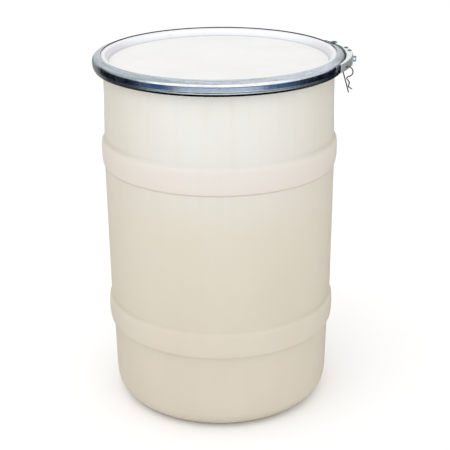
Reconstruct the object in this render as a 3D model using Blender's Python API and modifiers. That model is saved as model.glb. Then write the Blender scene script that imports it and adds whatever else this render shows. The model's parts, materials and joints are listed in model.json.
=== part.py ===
"""Open-head plastic drum: blow-moulded body, recessed lid, lever-lock closing ring and safety clip.

Metres, +Z up. The drum stands on z = 0 around the Z axis, and the latch faces +X.
Latch angles are in degrees round the Z axis from +X, and latch radii are from that axis.
"""
import math

import bmesh
import bpy
from mathutils import Matrix, Vector

# Drum body
SEGMENTS = 64
WALL = 0.005
MOUTH_RADIUS = 0.2295
BEAD_RADIUS = 0.2445
BEAD_TOP = 0.7335
BEAD_UNDERSIDE = 0.7250
NECK_RADIUS = 0.2347
SHOULDER_RADIUS = 0.2372
WAIST_TOP_RADIUS = 0.2385
WAIST_BOTTOM_RADIUS = 0.2368
BASE_TOP_RADIUS = 0.2336
BASE_BOTTOM_RADIUS = 0.2315
UPPER_STEP_Z = 0.5196
LOWER_STEP_Z = 0.1708
UPPER_HOOP_RADIUS = 0.2438
LOWER_HOOP_RADIUS = 0.2422
HOOP_HEIGHT = 0.0588
CORNER_RADIUS = 0.047
FLOOR_Z = 0.009
FOOT_INNER_RADIUS = 0.156
PAD_RADIUS = 0.064
BASE_RECESS = 0.004

# Lid and gasket
PANEL_Z = 0.7292
PANEL_THICKNESS = 0.004
CREST_Z = 0.7447
CREST_RADIUS = 0.2350
RIM_RADIUS = 0.2507
GASKET_INNER, GASKET_OUTER = 0.2342, 0.2416
GASKET_BOTTOM, GASKET_TOP = 0.7338, 0.7394

# Closing ring
RING_RADIUS = 0.2555
RING_MOUTH_RADIUS = 0.2385
RING_TOP = 0.7462
RING_BOTTOM = 0.7166
SHEET = 0.0015
RING_GAP = (14.2, 17.8)

# Latch, all of it within this height
LEVER_BOTTOM, LEVER_TOP = 0.7185, 0.7420
LEVER_INNER = 0.2575
LEVER_OUTER = ((-24.5, 0.2612), (-15.0, 0.2658), (-7.5, 0.2692), (-1.0, 0.2712), (8.5, 0.2705))
LEVER_TIP, WEB_END, TAIL = -24.5, -1.6, 8.5
HANDLE_END = -5.8
HANDLE_BOTTOM = 0.7247
BRACKET_INNER = 0.2558
BRACKET_BASE = 0.2573
BRACKET_BOTTOM, BRACKET_TOP = 0.7203, 0.7402
FULCRUM = (0.2645, 8.5)
LINK_PIVOT = (0.2660, 2.6)
KEEPER_PIVOT = (0.2650, 23.0)
KEEPER_MOUTH_DIRECTION = 15.5
KEEPER_MOUTH_HALF = 0.0029
PIVOT_HOLE = 0.0027
PIVOT_SHANK = 0.0023
HEAD_RADIUS = 0.0042
HEAD_HEIGHT = 0.0014
GAP = 0.0003
LINK_BOTTOM, LINK_TOP = 0.7245, 0.7360
EYE_RADIUS = 0.0042
STRAP_INNER, STRAP_OUTER = 0.2678, 0.2698
TAB_ANGLE = -4.5
TAB_REACH = 0.2772
TAB_BOTTOM, TAB_TOP = 0.7255, 0.7393
TAB_THICKNESS = 0.002

# Safety clip, bent from round wire in a plane that holds the drum's axis
CLIP_ANGLE = -19.5
CLIP_HOLE_Z = 0.7318
WIRE_RADIUS = 0.00125
CLIP_LOOP_RADIUS = 0.0098
CLIP_LEAN = 17.0
CLIP_STEM_TOP = (0.2581, 0.7203)
CLIP_STEM_LENGTH = 0.040

NATURAL_HDPE = (0.80, 0.76, 0.68)
LID_WHITE = (0.86, 0.86, 0.83)
GALVANISED = (0.56, 0.58, 0.60)
ZINC_BRIGHT = (0.68, 0.69, 0.70)
SPRING_WIRE = (0.42, 0.42, 0.41)
BLACK_RUBBER = (0.02, 0.02, 0.022)


def clear_scene():
    for obj in list(bpy.data.objects):
        bpy.data.objects.remove(obj, do_unlink=True)


def collection(name):
    made = bpy.data.collections.new(name)
    bpy.context.scene.collection.children.link(made)
    return made


def material(name, colour, roughness, metallic=0.0):
    made = bpy.data.materials.new(name)
    made.use_nodes = True
    shader = made.node_tree.nodes["Principled BSDF"]
    shader.inputs["Base Color"].default_value = (*colour, 1.0)
    shader.inputs["Roughness"].default_value = roughness
    shader.inputs["Metallic"].default_value = metallic
    return made


def polar(radius, degrees, z=0.0):
    angle = math.radians(degrees)
    return Vector((radius * math.cos(angle), radius * math.sin(angle), z))


def arc(centre, radius, start, end, steps):
    """Points on a circle in a plane, from one angle in degrees to another."""
    angles = [math.radians(start + (end - start) * i / steps) for i in range(steps + 1)]
    return [(centre[0] + radius * math.cos(a), centre[1] + radius * math.sin(a)) for a in angles]


def add_mesh(name, shape, group):
    """A bmesh made into an object, with its faces turned outwards."""
    bmesh.ops.recalc_face_normals(shape, faces=shape.faces)
    mesh = bpy.data.meshes.new(name)
    shape.to_mesh(mesh)
    shape.free()
    obj = bpy.data.objects.new(name, mesh)
    group.objects.link(obj)
    return obj


def paint(obj, colour, roughness, metallic=0.0):
    obj.data.materials.append(material(obj.name + "_material", colour, roughness, metallic))
    for face in obj.data.polygons:
        face.use_smooth = True


def turned(name, profile, group, segments=SEGMENTS, closed=False):
    """A profile of (radius, z) turned round the object's Z axis with a Screw modifier."""
    mesh = bpy.data.meshes.new(name)
    count = len(profile)
    edges = [(i, (i + 1) % count) for i in range(count if closed else count - 1)]
    mesh.from_pydata([(radius, 0.0, z) for radius, z in profile], edges, [])
    obj = bpy.data.objects.new(name, mesh)
    group.objects.link(obj)
    screw = obj.modifiers.new("turn", "SCREW")
    screw.steps = screw.render_steps = segments
    screw.use_merge_vertices = True
    screw.merge_threshold = 0.00001
    screw.use_smooth_shade = True
    return obj


def band(name, profile, start, end, group, step=1.0):
    """A closed (radius, z) profile swept round the Z axis between two angles in degrees."""
    shape = bmesh.new()
    section = shape.faces.new([shape.verts.new(polar(r, start, z)) for r, z in profile])
    parts = [section, *section.edges, *section.verts]
    steps = max(1, round(abs(end - start) / step))
    bmesh.ops.spin(shape, geom=parts, cent=(0, 0, 0), axis=(0, 0, 1),
                   angle=math.radians(end - start), steps=steps)
    return add_mesh(name, shape, group)


def plate(name, outline, bottom, top, group):
    """A flat outline of (x, y) points given a thickness along Z."""
    shape = bmesh.new()
    face = shape.faces.new([shape.verts.new((x, y, bottom)) for x, y in outline])
    grown = bmesh.ops.extrude_face_region(shape, geom=[face])["geom"]
    moved = [item for item in grown if isinstance(item, bmesh.types.BMVert)]
    bmesh.ops.translate(shape, verts=moved, vec=(0, 0, top - bottom))
    return add_mesh(name, shape, group)


def box(name, low, high, placed, group):
    shape = bmesh.new()
    bmesh.ops.create_cube(shape, size=1.0)
    size = [high[i] - low[i] for i in range(3)]
    middle = [(high[i] + low[i]) / 2 for i in range(3)]
    bmesh.ops.transform(shape, verts=shape.verts,
                        matrix=placed @ Matrix.Translation(middle) @ Matrix.Diagonal((*size, 1)))
    return add_mesh(name, shape, group)


def rod(name, radius, start, end, group, segments=20):
    """A cylinder between two points."""
    shape = bmesh.new()
    bmesh.ops.create_cone(shape, cap_ends=True, segments=segments,
                          radius1=radius, radius2=radius, depth=(end - start).length)
    turn = (end - start).to_track_quat("Z", "Y").to_matrix().to_4x4()
    bmesh.ops.transform(shape, verts=shape.verts,
                        matrix=Matrix.Translation((start + end) / 2) @ turn)
    return add_mesh(name, shape, group)


def join(obj, operation, *others):
    for other in others:
        step = obj.modifiers.new(operation.lower() + "_" + other.name, "BOOLEAN")
        step.operation = operation
        step.solver = "EXACT"
        step.object = other


def set_origin(obj, point):
    obj.data.transform(Matrix.Translation(-point))
    obj.location = point


def carry(parent, *children):
    """Parents pieces to the one that they ride on, without moving them."""
    bpy.context.view_layer.update()
    for child in children:
        child.parent = parent
        child.matrix_parent_inverse = parent.matrix_world.inverted()


def hoop(step_z, above, crown, below):
    """A rolling hoop from the top down: a soft swell above and a sharp step back to the wall below."""
    swell = [(0.0, 1.0, above), (0.3, 0.92, above), (0.75, 0.79, above), (0.97, 0.67, above)]
    points = [(wall + (crown - wall) * out, step_z + HOOP_HEIGHT * up) for out, up, wall in swell]
    points += [(crown, step_z + 0.55 * HOOP_HEIGHT), (crown - 0.0002, step_z + 0.40 * HOOP_HEIGHT),
               (crown - 0.0010, step_z + 0.21 * HOOP_HEIGHT), (crown - 0.0018, step_z + 0.0060),
               (crown - 0.0028, step_z + 0.0026), (crown - 0.0042, step_z + 0.0008), (below, step_z)]
    return points


def drum_body(group):
    inner = [(0.0, FLOOR_Z)]
    inner_corner = (BASE_BOTTOM_RADIUS - CORNER_RADIUS, FLOOR_Z + CORNER_RADIUS - WALL)
    inner += arc(inner_corner, CORNER_RADIUS - WALL, -90, 0, 6)
    inner += [(BASE_TOP_RADIUS - WALL, LOWER_STEP_Z), (LOWER_HOOP_RADIUS - 0.0068, LOWER_STEP_Z + 0.013),
              (LOWER_HOOP_RADIUS - WALL, LOWER_STEP_Z + 0.034),
              (WAIST_BOTTOM_RADIUS - WALL, LOWER_STEP_Z + HOOP_HEIGHT),
              (WAIST_TOP_RADIUS - WALL, UPPER_STEP_Z), (UPPER_HOOP_RADIUS - 0.0064, UPPER_STEP_Z + 0.013),
              (UPPER_HOOP_RADIUS - WALL, UPPER_STEP_Z + 0.034),
              (SHOULDER_RADIUS - WALL, UPPER_STEP_Z + HOOP_HEIGHT), (MOUTH_RADIUS, 0.655),
              (MOUTH_RADIUS, BEAD_TOP - 0.002), (MOUTH_RADIUS + 0.002, BEAD_TOP)]
    bead = [(BEAD_RADIUS - 0.002, BEAD_TOP), (BEAD_RADIUS, BEAD_TOP - 0.0018),
            (BEAD_RADIUS, BEAD_UNDERSIDE + 0.0015), (BEAD_RADIUS - 0.0013, BEAD_UNDERSIDE),
            (NECK_RADIUS + 0.0013, BEAD_UNDERSIDE - 0.0032), (NECK_RADIUS, BEAD_UNDERSIDE - 0.008)]
    neck = [(NECK_RADIUS, 0.655), (0.2362, 0.612)]
    upper = hoop(UPPER_STEP_Z, SHOULDER_RADIUS, UPPER_HOOP_RADIUS, WAIST_TOP_RADIUS)
    lower = hoop(LOWER_STEP_Z, WAIST_BOTTOM_RADIUS, LOWER_HOOP_RADIUS, BASE_TOP_RADIUS)
    outer_corner = (BASE_BOTTOM_RADIUS - CORNER_RADIUS, CORNER_RADIUS)
    base = [(BASE_TOP_RADIUS - 0.0004, LOWER_STEP_Z - 0.012)]
    base += arc(outer_corner, CORNER_RADIUS, 0, -90, 8)
    base += [(FOOT_INNER_RADIUS, 0.0), (FOOT_INNER_RADIUS - 0.006, BASE_RECESS),
             (PAD_RADIUS + 0.006, BASE_RECESS), (PAD_RADIUS, 0.0), (0.0, 0.0)]
    body = turned("drum_body", inner + bead + neck + upper + lower + base, group)
    paint(body, NATURAL_HDPE, 0.45)
    return body


def lid(group):
    underside = PANEL_Z - PANEL_THICKNESS
    profile = [(0.0, PANEL_Z), (0.2195, PANEL_Z), (0.2233, PANEL_Z + 0.0010), (0.2246, PANEL_Z + 0.0038),
               (0.2262, 0.7380), (0.2288, 0.7420), (0.2318, CREST_Z - 0.0006), (CREST_RADIUS, CREST_Z),
               (0.2372, CREST_Z - 0.0003), (0.2475, 0.7403), (0.2497, 0.7391), (RIM_RADIUS, 0.7378),
               (RIM_RADIUS, 0.7328), (RIM_RADIUS - 0.0006, 0.7322), (0.2486, 0.7322), (0.2480, 0.7330),
               (0.2480, 0.7372), (0.2425, GASKET_TOP + 0.0004), (0.2330, GASKET_TOP + 0.0004),
               (0.2284, 0.7362), (0.2276, 0.7290), (0.2240, underside), (0.0, underside)]
    made = turned("lid", profile, group)
    paint(made, LID_WHITE, 0.4)
    return made


def lid_gasket(group):
    middle = (GASKET_BOTTOM + GASKET_TOP) / 2
    edge = 0.0012
    profile = [(GASKET_INNER + edge, GASKET_TOP), (GASKET_OUTER - edge, GASKET_TOP),
               (GASKET_OUTER, middle + edge), (GASKET_OUTER, middle - edge),
               (GASKET_OUTER - edge, GASKET_BOTTOM), (GASKET_INNER + edge, GASKET_BOTTOM),
               (GASKET_INNER, middle - edge), (GASKET_INNER, middle + edge)]
    made = turned("lid_gasket", profile, group, closed=True)
    paint(made, BLACK_RUBBER, 0.8)
    return made


def closing_ring(group, cutters, rivet_angles):
    mouth, wall = RING_MOUTH_RADIUS, RING_RADIUS - SHEET
    outside = [(mouth, RING_TOP), (0.2520, 0.7413), (0.2540, 0.7402), (0.2551, 0.7388), (RING_RADIUS, 0.7368),
               (RING_RADIUS, 0.7256), (0.2547, 0.7210), (0.2539, 0.7184), (0.2518, RING_BOTTOM), (0.2405, 0.7212)]
    inside = [(0.2405, 0.7227), (0.2517, 0.7182), (0.2527, 0.7191), (0.2533, 0.7212), (wall, 0.7258),
              (wall, 0.7366), (0.2537, 0.7379), (0.2529, 0.7389), (0.2515, 0.7399), (mouth, RING_TOP - SHEET)]
    ring = turned("closing_ring", outside + inside, group, closed=True)
    gap_middle = math.radians(sum(RING_GAP) / 2)
    half_gap = RING_RADIUS * math.radians(RING_GAP[1] - RING_GAP[0]) / 2
    gap = box("ring_gap_cutter", (0.225, -half_gap, 0.71), (0.27, half_gap, 0.755),
              Matrix.Rotation(gap_middle, 4, "Z"), cutters)
    join(ring, "DIFFERENCE", gap)
    middle = (BRACKET_BOTTOM + BRACKET_TOP) / 2
    for number, angle in enumerate(rivet_angles):
        hole = rod(f"ring_rivet_hole_{number}", 0.0018, polar(0.250, angle, middle),
                   polar(0.260, angle, middle), cutters, segments=12)
        join(ring, "DIFFERENCE", hole)
    paint(ring, GALVANISED, 0.32, 1.0)
    return ring


def radial_rivet(name, angle, group):
    """A small rivet that holds a latch piece to the ring's wall, its axis along a radius."""
    middle = (BRACKET_BOTTOM + BRACKET_TOP) / 2
    inner_head, wall_inside = 0.2525, RING_RADIUS - SHEET - 3 * GAP
    outer_face, outer_head = BRACKET_BASE + GAP, BRACKET_BASE + GAP + 0.0011
    profile = [(0.0, outer_head), (0.0018, outer_head - 0.0002), (0.0027, outer_face), (0.0015, outer_face),
               (0.0015, wall_inside), (0.0026, wall_inside), (0.0026, inner_head), (0.0, inner_head)]
    made = turned(name, profile, group, segments=16)
    turn = polar(1.0, angle).to_track_quat("Z", "Y")
    made.rotation_euler = turn.to_euler()
    made.location = (0.0, 0.0, middle)
    paint(made, ZINC_BRIGHT, 0.35, 1.0)
    return made


def upright_rivet(name, pivot, bottom, top, group):
    """A headed pin along Z whose heads sit outside the two heights given."""
    head = HEAD_HEIGHT
    profile = [(0.0, top + head), (HEAD_RADIUS * 0.62, top + head * 0.86), (HEAD_RADIUS * 0.93, top + head * 0.4),
               (HEAD_RADIUS, top), (PIVOT_SHANK, top), (PIVOT_SHANK, bottom), (HEAD_RADIUS, bottom),
               (HEAD_RADIUS * 0.93, bottom - head * 0.4), (HEAD_RADIUS * 0.62, bottom - head * 0.86),
               (0.0, bottom - head)]
    made = turned(name, profile, group, segments=20)
    made.location = polar(*pivot)
    paint(made, ZINC_BRIGHT, 0.3, 1.0)
    return made


def ear_outline(pivot, half_width, inner_radius, reach):
    """A plate that grows out of a bracket's base and ends in a round of this reach about the pivot."""
    centre = polar(*pivot)
    root = [polar(inner_radius, pivot[1] + side * math.degrees(half_width / inner_radius)) for side in (1, -1)]
    nose = arc((centre.x, centre.y), reach, pivot[1] - 80, pivot[1] + 80, 10)
    return [(root[1].x, root[1].y), *nose, (root[0].x, root[0].y)]


def bracket(name, start, end, pivot, reach, group, cutters):
    """A base curved to the ring with an ear above and an ear below, which hold a pivot."""
    thin = GAP
    profile = [(BRACKET_INNER, BRACKET_TOP - thin), (BRACKET_BASE, BRACKET_TOP - thin),
               (BRACKET_BASE, BRACKET_BOTTOM + thin), (BRACKET_INNER, BRACKET_BOTTOM + thin)]
    made = band(name, profile, start, end, group)
    outline = ear_outline(pivot, reach, BRACKET_INNER + 0.0006, reach)
    for side, low in (("upper", BRACKET_TOP - SHEET), ("lower", BRACKET_BOTTOM)):
        ear = plate(f"{name}_{side}_ear", outline, low, low + SHEET, cutters)
        join(made, "UNION", ear)
    paint(made, GALVANISED, 0.35, 1.0)
    return made


def fulcrum_bracket(group, cutters):
    made = bracket("fulcrum_bracket", -2.6, 12.4, FULCRUM, 0.0055, group, cutters)
    hole = rod("fulcrum_hole", PIVOT_HOLE, polar(*FULCRUM, 0.715), polar(*FULCRUM, 0.745), cutters)
    join(made, "DIFFERENCE", hole)
    return made


def keeper_bracket(group, cutters):
    """The other ring end's bracket: its notches are open outwards, along the way that the link's pin swings."""
    made = bracket("keeper_bracket", 19.6, 28.4, KEEPER_PIVOT, 0.0070, group, cutters)
    seat = rod("keeper_seat", PIVOT_HOLE, polar(*KEEPER_PIVOT, 0.715), polar(*KEEPER_PIVOT, 0.745), cutters)
    placed = Matrix.Translation(polar(*KEEPER_PIVOT)) @ Matrix.Rotation(math.radians(KEEPER_MOUTH_DIRECTION), 4, "Z")
    mouth = box("keeper_mouth", (0.0, -KEEPER_MOUTH_HALF, 0.715), (0.0125, KEEPER_MOUTH_HALF, 0.745),
                placed, cutters)
    join(made, "DIFFERENCE", seat, mouth)
    return made


def locking_tab(group, cutters):
    """A plate that stands out through the lever's slot, with a hole for the clip."""
    profile = [(BRACKET_INNER, TAB_TOP), (BRACKET_BASE, TAB_TOP), (BRACKET_BASE, TAB_BOTTOM),
               (BRACKET_INNER, TAB_BOTTOM)]
    foot = band("locking_tab", profile, TAB_ANGLE - 6.4, TAB_ANGLE, group)
    placed = Matrix.Rotation(math.radians(TAB_ANGLE), 4, "Z")
    inset = 0.0004
    blade = box("locking_tab_blade", (BRACKET_INNER + inset, -TAB_THICKNESS * 0.6, TAB_BOTTOM + inset),
                (TAB_REACH, TAB_THICKNESS * 0.4, TAB_TOP - inset), placed, cutters)
    across = polar(1.0, TAB_ANGLE + 90)
    middle = polar(TAB_REACH - 0.0045, TAB_ANGLE, (TAB_BOTTOM + TAB_TOP) / 2)
    eye = rod("locking_tab_eye", 0.0020, middle - 0.006 * across, middle + 0.006 * across, cutters, segments=16)
    join(foot, "UNION", blade)
    join(foot, "DIFFERENCE", eye)
    paint(foot, GALVANISED, 0.35, 1.0)
    return foot


def lever_outer(angle):
    """The radius of the lever's outer face: the handle tapers in to the ring at its tip."""
    for (start, low), (end, high) in zip(LEVER_OUTER, LEVER_OUTER[1:]):
        if angle <= end:
            return low + (high - low) * (angle - start) / (end - start)
    return LEVER_OUTER[-1][1]


def web_outline():
    """The lever's long face as a strip of sheet."""
    steps = round(WEB_END - LEVER_TIP)
    angles = [LEVER_TIP + (WEB_END - LEVER_TIP) * i / steps for i in range(steps + 1)]
    outside = [polar(lever_outer(angle), angle) for angle in angles]
    inside = [polar(lever_outer(angle) - SHEET, angle) for angle in reversed(angles)]
    return [(p.x, p.y) for p in outside + inside]


def flange_outline(start):
    """One of the lever's two long plates, curved with the ring and rounded at the tail."""
    inset = 0.0005
    steps = round(TAIL - start)
    angles = [start + (TAIL - start) * i / steps for i in range(steps + 1)]
    outside = [polar(lever_outer(angle) - inset, angle) for angle in angles]
    inside = [polar(LEVER_INNER, angle) for angle in reversed(angles)]
    outer = lever_outer(TAIL) - inset
    centre = polar((outer + LEVER_INNER) / 2, TAIL)
    tail = arc((centre.x, centre.y), (outer - LEVER_INNER) / 2, TAIL + 15, TAIL + 165, 8)
    return [(p.x, p.y) for p in outside] + tail + [(p.x, p.y) for p in inside]


def lever(group, cutters):
    edge = 0.0005
    made = plate("lever", web_outline(), LEVER_BOTTOM + edge, LEVER_TOP - edge, group)
    upper = plate("lever_upper_flange", flange_outline(LEVER_TIP + 0.2), LEVER_TOP - SHEET, LEVER_TOP, cutters)
    lower = plate("lever_lower_flange", flange_outline(HANDLE_END + 0.5), LEVER_BOTTOM, LEVER_BOTTOM + SHEET, cutters)
    join(made, "UNION", upper, lower)
    for name, pivot in (("fulcrum", FULCRUM), ("link", LINK_PIVOT)):
        hole = rod(f"lever_{name}_hole", PIVOT_HOLE, polar(*pivot, 0.710), polar(*pivot, 0.750), cutters)
        join(made, "DIFFERENCE", hole)
    clip_hole = rod("lever_clip_hole", 0.0027, polar(0.259, CLIP_ANGLE, CLIP_HOLE_Z),
                    polar(0.268, CLIP_ANGLE, CLIP_HOLE_Z), cutters)
    below = [(0.255, HANDLE_BOTTOM), (0.275, HANDLE_BOTTOM), (0.275, 0.712), (0.255, 0.712)]
    under_handle = band("lever_under_handle", below, LEVER_TIP - 1.5, HANDLE_END, cutters)
    placed = Matrix.Rotation(math.radians(TAB_ANGLE), 4, "Z")
    slot = box("lever_slot", (0.264, -0.0052, TAB_BOTTOM - 0.0015), (0.274, 0.0014, LEVER_TOP - SHEET - 0.0002),
               placed, cutters)
    join(made, "DIFFERENCE", clip_hole, under_handle, slot)
    paint(made, ZINC_BRIGHT, 0.3, 1.0)
    set_origin(made, polar(*FULCRUM, (LEVER_BOTTOM + LEVER_TOP) / 2))
    return made


def link(group, cutters):
    """A curved strap with an eye at each end."""
    strap = [(STRAP_INNER, LINK_TOP - 0.0004), (STRAP_OUTER, LINK_TOP - 0.0004),
             (STRAP_OUTER, LINK_BOTTOM + 0.0004), (STRAP_INNER, LINK_BOTTOM + 0.0004)]
    made = band("link", strap, LINK_PIVOT[1], KEEPER_PIVOT[1], group)
    for name, pivot in (("lever", LINK_PIVOT), ("keeper", KEEPER_PIVOT)):
        eye = rod(f"link_{name}_eye", EYE_RADIUS, polar(*pivot, LINK_BOTTOM), polar(*pivot, LINK_TOP), cutters)
        hole = rod(f"link_{name}_hole", PIVOT_HOLE, polar(*pivot, 0.715), polar(*pivot, 0.745), cutters)
        join(made, "UNION", eye)
        join(made, "DIFFERENCE", hole)
    paint(made, GALVANISED, 0.33, 1.0)
    set_origin(made, polar(*LINK_PIVOT, (LINK_BOTTOM + LINK_TOP) / 2))
    return made


def smooth_through(points, steps):
    """A Catmull-Rom curve through the points, with the ends repeated."""
    ends = [points[0], *points, points[-1]]
    made = []
    for a, b, c, d in zip(ends, ends[1:], ends[2:], ends[3:]):
        for i in range(steps):
            t = i / steps
            made.append(tuple(0.5 * (2 * q + (r - p) * t + (2 * p - 5 * q + 4 * r - s) * t * t
                                     + (3 * q - p - 3 * r + s) * t ** 3)
                              for p, q, r, s in zip(a, b, c, d)))
    return made + [points[-1]]


def clip_path():
    """The bent wire: a straight stem on the left, a round head and a wavy leg on the right."""
    loop = arc((CLIP_LOOP_RADIUS, 0.0), CLIP_LOOP_RADIUS, 180, -100, 22)
    wavy = [loop[-1], (0.0050, -0.0110), (0.0036, -0.0134), (0.0056, -0.0176), (0.0066, -0.0218),
            (0.0031, -0.0284), (0.0048, -0.0318), (0.0080, -0.0348)]
    path = [(0.0, -CLIP_STEM_LENGTH), (0.0, -CLIP_STEM_LENGTH / 2)] + loop + smooth_through(wavy, 4)[1:]
    lean = math.radians(CLIP_LEAN)
    points = []
    for x, y in path:
        out = CLIP_STEM_TOP[0] + x * math.cos(lean) - y * math.sin(lean)
        up = CLIP_STEM_TOP[1] + x * math.sin(lean) + y * math.cos(lean)
        points.append(polar(out, CLIP_ANGLE, up))
    return points


def r_clip(group):
    points = clip_path()
    hinge = polar(lever_outer(CLIP_ANGLE) - SHEET / 2, CLIP_ANGLE, CLIP_HOLE_Z)
    curve = bpy.data.curves.new("r_clip", "CURVE")
    curve.dimensions = "3D"
    curve.bevel_depth = WIRE_RADIUS
    curve.bevel_resolution = 1
    curve.use_fill_caps = True
    spline = curve.splines.new("POLY")
    spline.points.add(len(points) - 1)
    for point, place in zip(spline.points, points):
        point.co = (*(place - hinge), 1.0)
    made = bpy.data.objects.new("r_clip", curve)
    made.location = hinge
    group.objects.link(made)
    curve.materials.append(material("r_clip_material", SPRING_WIRE, 0.35, 1.0))
    return made


def main():
    clear_scene()
    group = collection("open_head_drum")
    cutters = collection("construction")
    body = drum_body(group)
    cover = lid(group)
    gasket = lid_gasket(group)
    rivet_places = {"fulcrum_bracket_rivet_front": -1.2, "fulcrum_bracket_rivet_rear": 11.4,
                    "keeper_bracket_rivet_front": 20.6, "keeper_bracket_rivet_rear": 27.4,
                    "locking_tab_rivet_front": TAB_ANGLE - 5.6, "locking_tab_rivet_rear": TAB_ANGLE - 2.6}
    ring = closing_ring(group, cutters, rivet_places.values())
    rivets = [radial_rivet(name, angle, group) for name, angle in rivet_places.items()]
    pieces = [fulcrum_bracket(group, cutters), keeper_bracket(group, cutters), locking_tab(group, cutters)]
    middle = (BRACKET_BOTTOM + BRACKET_TOP) / 2
    for number, angle in enumerate(rivet_places.values()):
        hole = rod(f"plate_rivet_hole_{number}", 0.0018, polar(0.252, angle, middle),
                   polar(0.2595, angle, middle), cutters, segments=12)
        join(pieces[number // 2], "DIFFERENCE", hole)
    handle = lever(group, cutters)
    strap = link(group, cutters)
    upper = upright_rivet("fulcrum_rivet_upper", FULCRUM, BRACKET_TOP - SHEET - GAP, LEVER_TOP + GAP, group)
    lower = upright_rivet("fulcrum_rivet_lower", FULCRUM, LEVER_BOTTOM - GAP, BRACKET_BOTTOM + SHEET + GAP, group)
    pivot = upright_rivet("link_rivet", LINK_PIVOT, LEVER_BOTTOM - GAP, LEVER_TOP + GAP, group)
    cross_pin = upright_rivet("link_cross_pin", KEEPER_PIVOT, BRACKET_BOTTOM - GAP, BRACKET_TOP + GAP, group)
    clip = r_clip(group)
    for helper in cutters.objects:
        helper.hide_render = True
        helper.display_type = "WIRE"
    carry(body, cover)
    carry(cover, gasket, ring)
    carry(ring, handle, upper, lower, *pieces, *rivets)
    carry(handle, strap, pivot, clip)
    carry(strap, cross_pin)


main()
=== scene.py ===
"""Open-head plastic drum with a lever-lock closing ring: the looks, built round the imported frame.

Metres, +Z up. The drum stands on the floor round the Z axis, and its latch faces +X.
Angles round the drum are in degrees from +X.
"""
import json
import math

import bmesh
import bpy
from mathutils import Matrix, Quaternion, Vector


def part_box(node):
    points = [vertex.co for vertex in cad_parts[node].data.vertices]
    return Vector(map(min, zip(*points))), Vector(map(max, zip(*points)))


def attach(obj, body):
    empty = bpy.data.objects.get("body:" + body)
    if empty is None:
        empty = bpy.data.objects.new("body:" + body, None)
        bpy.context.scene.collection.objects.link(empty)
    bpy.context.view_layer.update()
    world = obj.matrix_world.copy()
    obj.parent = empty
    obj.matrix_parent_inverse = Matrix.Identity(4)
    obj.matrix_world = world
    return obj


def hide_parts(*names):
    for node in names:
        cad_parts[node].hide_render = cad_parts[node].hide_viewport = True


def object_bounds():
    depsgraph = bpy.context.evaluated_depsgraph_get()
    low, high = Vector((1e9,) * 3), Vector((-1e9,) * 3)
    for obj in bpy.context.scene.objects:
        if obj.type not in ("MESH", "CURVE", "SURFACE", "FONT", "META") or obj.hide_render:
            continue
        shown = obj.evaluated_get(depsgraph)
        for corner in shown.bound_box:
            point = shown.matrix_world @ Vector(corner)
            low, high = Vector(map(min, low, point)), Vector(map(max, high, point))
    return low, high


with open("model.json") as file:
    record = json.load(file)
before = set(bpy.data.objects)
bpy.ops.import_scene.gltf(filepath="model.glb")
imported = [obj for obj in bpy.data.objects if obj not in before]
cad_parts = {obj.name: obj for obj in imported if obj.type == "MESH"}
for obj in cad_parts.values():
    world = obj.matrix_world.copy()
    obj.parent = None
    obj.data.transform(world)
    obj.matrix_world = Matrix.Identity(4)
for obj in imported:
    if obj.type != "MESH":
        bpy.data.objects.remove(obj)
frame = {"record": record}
cad_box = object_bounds()

DRUM_LOW, DRUM_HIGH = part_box("drum_body")
LID_LOW, LID_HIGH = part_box("lid")
GASKET_LOW, GASKET_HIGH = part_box("lid_gasket")
RING_LOW, RING_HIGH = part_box("closing_ring")
LEVER_LOW, LEVER_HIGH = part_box("lever")
LINK_LOW, LINK_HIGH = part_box("link")
BRACKET_LOW, BRACKET_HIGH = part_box("fulcrum_bracket")
TAB_LOW, TAB_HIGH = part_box("locking_tab")
HINGES = {joint["name"]: Vector(joint["pos_m"]) for joint in frame["record"]["behaviour"]["joints"]
          if joint["type"] == "hinge"}

# Radii from the drum's axis
BEAD = (DRUM_HIGH[1] - DRUM_LOW[1]) / 2
RIM = (LID_HIGH[1] - LID_LOW[1]) / 2
RING = (RING_HIGH[1] - RING_LOW[1]) / 2
LEVER = LEVER_HIGH[0]

# Thicknesses of the steel and of the drum's wall, and the radius of the holes for pins and clip
SHEET = 0.0015
WALL = 0.005
HOLE = 0.0026

# The two rolling hoops: where each steps back to the wall below it, and how high they are
UPPER_STEP = DRUM_HIGH[2] - 0.2139
LOWER_STEP = DRUM_LOW[2] + 0.1708
HOOP_HEIGHT = 0.0560

# Edges that turn by more than this many degrees stay sharp
SHARP = 32.0


# ---------------------------------------------------------------- shapes

def polar(radius, degrees, z=0.0):
    angle = math.radians(degrees)
    return Vector((radius * math.cos(angle), radius * math.sin(angle), z))


def azimuth(point):
    return math.degrees(math.atan2(point[1], point[0]))


def middle_of(node):
    low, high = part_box(node)
    return (Vector(low) + Vector(high)) / 2


def rounded(corners, closed=False, steps=5):
    """Corners of (x, y, reach) joined by straight lines, with each corner rounded over its reach."""
    count = len(corners)
    made = []
    for i, (x, y, reach) in enumerate(corners):
        here = Vector((x, y))
        if reach == 0.0 or (not closed and i in (0, count - 1)):
            made.append((x, y))
            continue
        before = Vector(corners[i - 1][:2]) - here
        after = Vector(corners[(i + 1) % count][:2]) - here
        reach = min(reach, 0.49 * before.length, 0.49 * after.length)
        start, end = here + before.normalized() * reach, here + after.normalized() * reach
        for k in range(steps + 1):
            t = k / steps
            place = start * (1 - t) ** 2 + here * 2 * t * (1 - t) + end * t ** 2
            made.append((place.x, place.y))
    return made


def shade(shape, sharp):
    """Smooth shading but for edges over this angle."""
    for face in shape.faces:
        face.smooth = True
    for edge in shape.edges:
        edge.smooth = not (len(edge.link_faces) == 2 and edge.calc_face_angle(0.0) > math.radians(sharp))


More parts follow.
